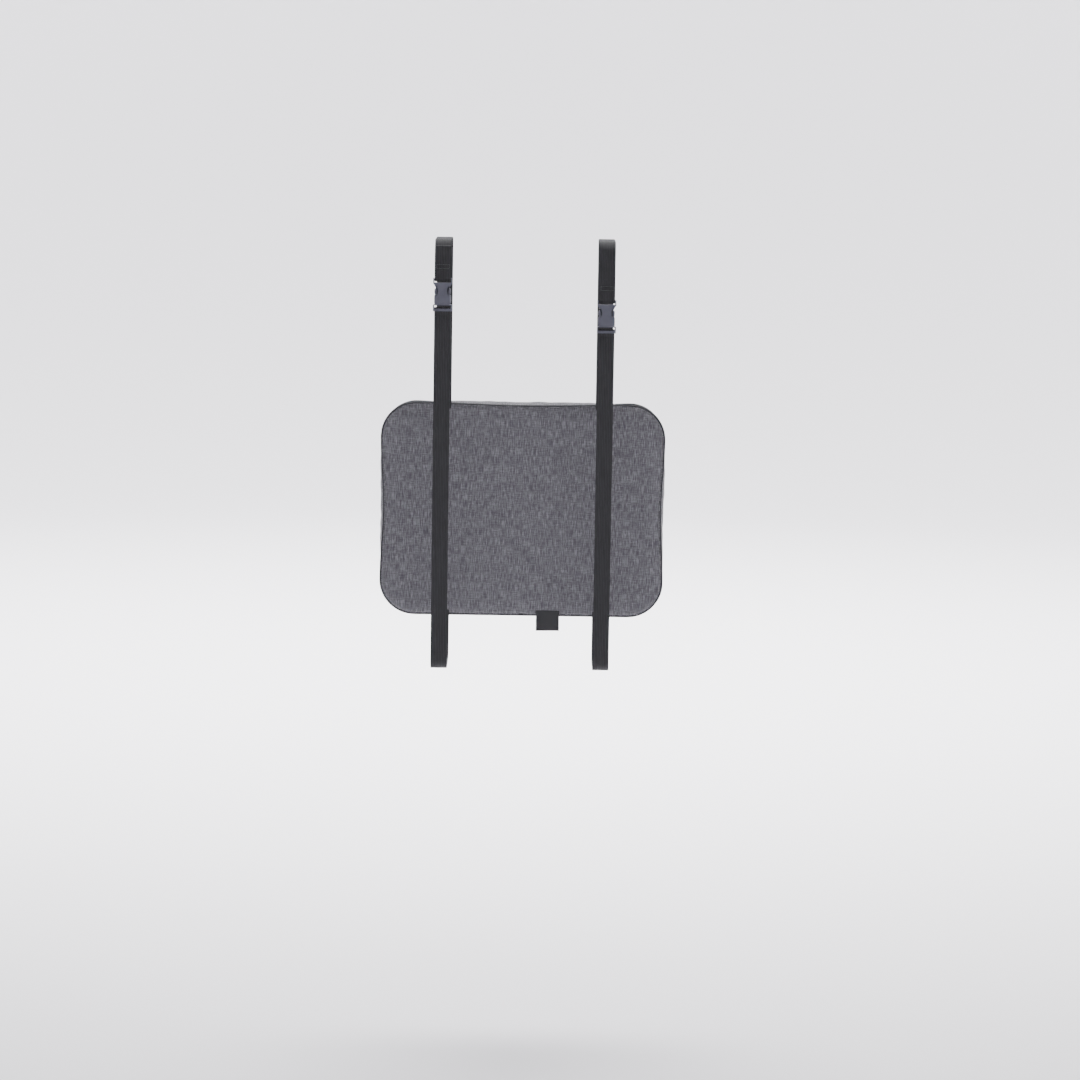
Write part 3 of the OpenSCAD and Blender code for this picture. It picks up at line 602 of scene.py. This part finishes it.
def filled(points, faces, pinned, pressure=5.0, frames=20):
    """Where the cover's points come to rest when its filling pushes them out, by cloth simulation."""
    body = new_object("filling", points, faces, cloth)
    work = bmesh.new()
    work.from_mesh(body.data)
    bmesh.ops.recalc_face_normals(work, faces=work.faces)
    work.to_mesh(body.data)
    work.free()
    group = body.vertex_groups.new(name="pinned")
    group.add(pinned, 1.0, "REPLACE")
    sim = body.modifiers.new("filling", "CLOTH")
    sim.settings.quality = 6
    sim.settings.mass = 0.35
    sim.settings.tension_stiffness = 25
    sim.settings.compression_stiffness = 25
    sim.settings.shear_stiffness = 8
    sim.settings.bending_stiffness = 1.2
    sim.settings.use_pressure = True
    sim.settings.uniform_pressure_force = pressure
    sim.settings.effector_weights.gravity = 0
    sim.settings.vertex_group_mass = "pinned"
    sim.point_cache.frame_start = 1
    sim.point_cache.frame_end = frames
    scene = bpy.context.scene
    for f in range(1, frames + 1):
        scene.frame_set(f)
    shaped = body.evaluated_get(bpy.context.evaluated_depsgraph_get())
    moved = [v.co.copy() for v in shaped.data.vertices]
    scene.frame_set(1)
    bpy.data.objects.remove(body)
    ends = []
    for a, b in zip(points, moved):
        d = b - a
        ends.append(d * (fill_cap * math.tanh(d.length / fill_cap) / d.length) if d.length > 0 else d)
    for ring in rings[1:]:
        for _ in range(even_rounds):
            eased = [(ends[ring[k - 1]] + 2 * ends[ring[k]] + ends[ring[(k + 1) % around]]) / 4
                     for k in range(around)]
            for k, d in zip(ring, eased):
                ends[k] = d
    return [p + d for p, d in zip(points, ends)]


all_cells = grid_faces("back") + grid_faces("front") + band_cells
held = list(range(len(grid)))
for ring in rings[1:]:
    held += [k for k in ring
             if start[k][2] < -half_h + bottom_reach and abs(start[k][0]) < zip_half + zip_margin]
shape = filled(start, all_cells, held)

# small puckers along the front seam, where the panel's edge is gathered into the piping, and broad
# soft hollows over the crown
for i, j in grid:
    k = at("front", i, j)
    m = on_outline(-1 + 2 * i / columns, -1 + 2 * j / rows_up)[1]
    near = edge_distance(m)
    p = shape[k]
    fade = 0 if m > 0.999 else math.exp(-near / pucker_reach)
    pucker = noise.noise(Vector((p[0] * pucker_size, p[2] * pucker_size, 3.1))) * fade
    broad = noise.noise(Vector((p[0] * hollow_size, p[2] * hollow_size, 7.7))) * (1 - m ** 3)
    p[1] += pucker_h * pucker + hollow_h * broad
for r, ring in enumerate(rings[1:-1]):
    for n, k in enumerate(ring):
        if k in held:
            continue
        wave = noise.noise(Vector((n * 0.55, band_depths[r + 1] * 60, 1.3)))
        outward = Vector((shape[k][0] / half_w, 0, shape[k][2] / half_h)).normalized()
        shape[k] += outward * band_wave * wave


def cloth_panel(name, cells, flat_place, node):
    """One cut panel of the cover: its own vertices, its weave's place in mm, and its thickness."""
    index, verts, marks, faces = {}, [], [], []
    for cell in cells:
        face = []
        for key in cell:
            if key not in index:
                index[key] = len(verts)
                verts.append(shape[key[0]])
                marks.append(flat_place(key))
            face.append(index[key])
        faces.append(tuple(face))
    made = new_object(name, verts, faces, cloth)
    layer = made.data.attributes.new("cloth_mm", "FLOAT_VECTOR", "POINT")
    layer.data.foreach_set("vector", [c for mark in marks for c in (*mark, 0)])
    smooth = made.modifiers.new("smooth", "SUBSURF")
    smooth.levels = smooth.render_levels = 1
    skin = made.modifiers.new("thickness", "SOLIDIFY")
    skin.thickness = cover_t
    skin.offset = -1
    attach(made, "root")
    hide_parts(*node)
    return made


def on_panel(key):
    return shape[key[0]][0] * 1000, shape[key[0]][2] * 1000


perimeter = [0]
for k in range(around):
    perimeter.append(perimeter[-1] + (start[rings[0][k]] - start[rings[0][(k + 1) % around]]).length * 1000)


def on_band(key):
    return perimeter[key[1]], band_depths[key[2]] * 1000


front_panel = cloth_panel("front_panel", [[(k,) for k in f] for f in grid_faces("front")], on_panel,
                          ["cover_front_panel"])
back_panel = cloth_panel("back_panel", [[(k,) for k in f] for f in grid_faces("back")], on_panel,
                         ["cover_back_panel"])
band_faces = []
for r in range(len(rings) - 1):
    for k in range(around):
        corners = [(rings[r][k], k, r), (rings[r][(k + 1) % around], k + 1, r),
                   (rings[r + 1][(k + 1) % around], k + 1, r + 1), (rings[r + 1][k], k, r + 1)]
        middle_of = sum((start[c[0]] for c in corners), Vector()) / 4
        if middle_of[2] < -half_h + bottom_reach and abs(middle_of[0]) < zip_half \
                and zip_low < middle_of[1] < zip_high:
            continue
        band_faces.append(corners)
band = cloth_panel("boxing_band", band_faces, on_band,
                   ["cover_boxing_band", "zip_panel_back", "zip_panel_front"])

# Piping: a cord in bias-cut black fabric, sewn into both seams all the way round, as on the chair
# that the cushion belongs to.
bead_r = 0.0022

bias_cloth, tree, shader = new_material("bias-cut black piping cloth", Roughness=0.75, Sheen_Weight=0.06)
spot = add(tree, "TexCoord").outputs["Object"]
bias = add(tree, "TexWave", {"Vector": spot, "Scale": 330.0, "Distortion": 0.6}, bands_direction="DIAGONAL")
dust = add(tree, "TexNoise", {"Vector": spot, "Scale": 420.0, "Detail": 2.0})
two_tone(tree, shader, dust.outputs["Fac"], "#17171b", "#2b2b31")
bumped(tree, shader, bias.outputs["Fac"], 0.4, 0.00015)


def bead(name, ring, out, forward, node):
    """A piping cord that follows a seam, a little outside it."""
    points = [shape[k] for k in ring]
    line = []
    for i, p in enumerate(points):
        d = (points[(i + 1) % around] - points[i - 1]).normalized()
        normal = d.cross(Vector((0, 1, 0))).normalized()
        if normal.dot(Vector((p[0], 0, p[2]))) < 0:
            normal.negate()
        line.append(p + normal * out + Vector((0, forward, 0)))
    fine = []
    for i, p in enumerate(line):
        q, before, after = line[(i + 1) % around], line[i - 1], line[(i + 2) % around]
        fine.append(p)
        fine.append((p + q) * 0.5625 - (before + after) * 0.0625)
    verts, faces = tube(fine, bead_r, sides=12, closed=True, up=Vector((0, 1, 0)))
    made = new_object(name, verts, faces, bias_cloth)
    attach(made, "root")
    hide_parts(node)
    return made


bead("back_piping", rings[0], 0.0012, 0.0023, "piping_back")
bead("front_piping", rings[-1], 0.0012, -0.0002, "piping_front")

# Zip: nylon coils sewn on woven tapes in the bottom band, with a painted zinc slider and pull and
# crimped end stops. It opens towards the left so that the filling can come out.
coil_wire_r = 0.00034
coil_pitch = 0.00135
per_turn = 10
tape_wave = 0.00012
slider_round, pull_round, stop_round = 0.0007, 0.0004, 0.0006
topstitch_y = (0.0165, 0.0335)

tape_cloth, tree, shader = new_material("woven zip tape", Roughness=0.8, Sheen_Weight=0.06)
spot = add(tree, "TexCoord").outputs["Object"]
herring = add(tree, "TexWave", {"Vector": spot, "Scale": 500.0}, bands_direction="DIAGONAL")
two_tone(tree, shader, herring.outputs["Fac"], "#202024", "#323237")
bumped(tree, shader, herring.outputs["Fac"], 0.4, 0.0001)

nylon, tree, shader = new_material("heat-set nylon monofilament", Roughness=0.35, IOR=1.53)
spot = add(tree, "TexCoord").outputs["Object"]
dust = add(tree, "TexNoise", {"Vector": spot, "Scale": 700.0, "Detail": 2.0})
two_tone(tree, shader, dust.outputs["Fac"], "#222226", "#34343a")

zinc, tree, shader = new_material("painted zinc casting", Roughness=0.4, Metallic=0.35)
spot = add(tree, "TexCoord").outputs["Object"]
wear = add(tree, "TexNoise", {"Vector": spot, "Scale": 260.0, "Detail": 4.0})
two_tone(tree, shader, wear.outputs["Fac"], "#303137", "#4c4d54")
bumped(tree, shader, wear.outputs["Fac"], 0.15, 0.00005)

for which in ("back", "front"):
    low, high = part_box("zip_tape_" + which)
    cells_x, cells_y = 84, 4
    verts = []
    for i in range(cells_x + 1):
        for j in range(cells_y + 1):
            x = low[0] + (high[0] - low[0]) * i / cells_x
            y = low[1] + (high[1] - low[1]) * j / cells_y
            verts.append((x, y, low[2] + tape_wave * noise.noise(Vector((x * 90, y * 200, 0)))))
    made = new_object(f"{which}_zip_tape", verts, sheet_faces(cells_x, cells_y), tape_cloth)
    skin = made.modifiers.new("thickness", "SOLIDIFY")
    skin.thickness = high[2] - low[2]
    skin.offset = 1
    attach(made, "root")
    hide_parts("zip_tape_" + which)

    low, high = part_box("zip_coil_" + which)
    centre_y, centre_z = (low[1] + high[1]) / 2, (low[2] + high[2]) / 2
    wide, tall = (high[1] - low[1]) / 2 - coil_wire_r, (high[2] - low[2]) / 2 - coil_wire_r
    turns_in_all = int((high[0] - low[0]) / coil_pitch)
    hand = 1 if which == "front" else -1
    phase = 0.5 if which == "front" else 0
    points = []
    for n in range(turns_in_all * per_turn):
        t = 2 * math.pi * (n / per_turn + phase)
        points.append(Vector((low[0] + coil_wire_r + (n / per_turn) * coil_pitch,
                              centre_y - hand * wide * math.cos(t), centre_z + tall * math.sin(t))))
    verts, faces = tube(points, coil_wire_r, sides=5, up=Vector((1, 0, 0)))
    made = new_object(f"{which}_zip_coil", verts, faces, nylon)
    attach(made, "root")
    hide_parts("zip_coil_" + which)

softened("slider", "zip_slider", "zip_slider_body", zinc, slider_round)
softened("pull_tab", "zip_pull", "zip_pull_body", zinc, pull_round)
softened("end_stops", "zip_end_stops", "root", zinc, stop_round)

seam_rows = [(Vector((-zip_half, y, -half_h)), Vector((zip_half, y, -half_h))) for y in topstitch_y]
zip_thread = stitches("zip_topstitching", seam_rows, Vector((0, 0, -1)))
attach(zip_thread, "root")

# Filling: a cut polyurethane foam block in a sewn inner bag of white spunbond, in two halves.
# Both lie inside the cover and follow its shape.
bag_in = 0.0052
foam_in = 0.0066
bag_t = 0.0005
bag_seam = 4               # the ring where the bag's two halves meet
back_in = 0.0006
mid_y = 0.03

spunbond, tree, shader = new_material("spunbond polypropylene", Roughness=0.75, Sheen_Weight=0.15)
spot = add(tree, "TexCoord").outputs["Object"]
bonds = add(tree, "TexVoronoi", {"Vector": spot, "Scale": 620.0})
two_tone(tree, shader, bonds.outputs["Distance"], "#d9d9d6", "#f2f2ef")
bumped(tree, shader, bonds.outputs["Distance"], 0.3, 0.0001)

foam, tree, shader = new_material("cut polyurethane foam", Roughness=0.95, Subsurface_Weight=0.1)
spot = add(tree, "TexCoord").outputs["Object"]
cells_seen = add(tree, "TexVoronoi", {"Vector": spot, "Scale": 800.0})
two_tone(tree, shader, cells_seen.outputs["Distance"], "#c9bd98", "#efe6cc")
bumped(tree, shader, cells_seen.outputs["Distance"], 0.6, 0.0003)


def shrunk(inset):
    """The cover's points moved inwards, for what lies inside it."""
    back_y = inset - back_in
    made = []
    for p in shape:
        x = p[0] * (1 - inset / half_w)
        z = p[2] * (1 - inset / half_h)
        y = max(back_y, p[1] - inset if p[1] > mid_y
                else back_y + (p[1] / mid_y) * (mid_y - inset - back_y))
        made.append(Vector((x, y, z)))
    return made


def inner_piece(name, points, cells, material, nodes, thick):
    """A piece inside the cover, made of the points that its cells use, with a thickness or solid."""
    made = new_object(name, points, cells, material)
    work = bmesh.new()
    work.from_mesh(made.data)
    bmesh.ops.delete(work, geom=[v for v in work.verts if not v.link_faces], context="VERTS")
    bmesh.ops.recalc_face_normals(work, faces=work.faces)
    work.to_mesh(made.data)
    work.free()
    if thick:
        skin = made.modifiers.new("thickness", "SOLIDIFY")
        skin.thickness = thick
        skin.offset = -1
    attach(made, "root")
    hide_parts(*nodes)
    return made


bag_points = shrunk(bag_in)
back_cells = grid_faces("back") + [c for r in ring_cells[:bag_seam] for c in r]
front_cells = grid_faces("front") + [c for r in ring_cells[bag_seam:] for c in r]
inner_piece("inner_bag_rear_half", bag_points, back_cells, spunbond,
            ["inner_bag_back"], bag_t)
inner_piece("inner_bag_front_half", bag_points, front_cells, spunbond,
            ["inner_bag_front"], bag_t)
block = inner_piece("foam_block", shrunk(foam_in), all_cells, foam, ["foam_core"], 0)

# Care label: a blank folded satin ribbon, caught in the bottom seam beside the zip.
satin_ribbon, tree, shader = new_material("woven satin label", Roughness=0.5, Sheen_Weight=0.05)
spot = add(tree, "TexCoord").outputs["Object"]
floats = add(tree, "TexWave", {"Vector": spot, "Scale": 700.0, "Distortion": 0.4}, bands_direction="Z")
two_tone(tree, shader, floats.outputs["Fac"], "#18181b", "#29292d")
bumped(tree, shader, floats.outputs["Fac"], 0.25, 0.00005)

low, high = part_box("care_label")
across_cells, down_cells = 12, 14
label_t, label_in, label_curl, label_lean = 0.0005, 0.0006, 0.0016, 0.0008
verts = []
for i in range(across_cells + 1):
    for j in range(down_cells + 1):
        x = low[0] + (high[0] - low[0]) * i / across_cells
        down = j / down_cells
        z = high[2] - (high[2] - low[2]) * down
        curl = label_curl * down * down * math.sin(2.2 * (i / across_cells - 0.2)) - label_lean * down
        verts.append((x, low[1] + label_in + curl, z))
label = new_object("label", verts, sheet_faces(across_cells, down_cells), satin_ribbon)
skin = label.modifiers.new("two layers", "SOLIDIFY")
skin.thickness = label_t
skin.offset = 0
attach(label, "root")
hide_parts("care_label")
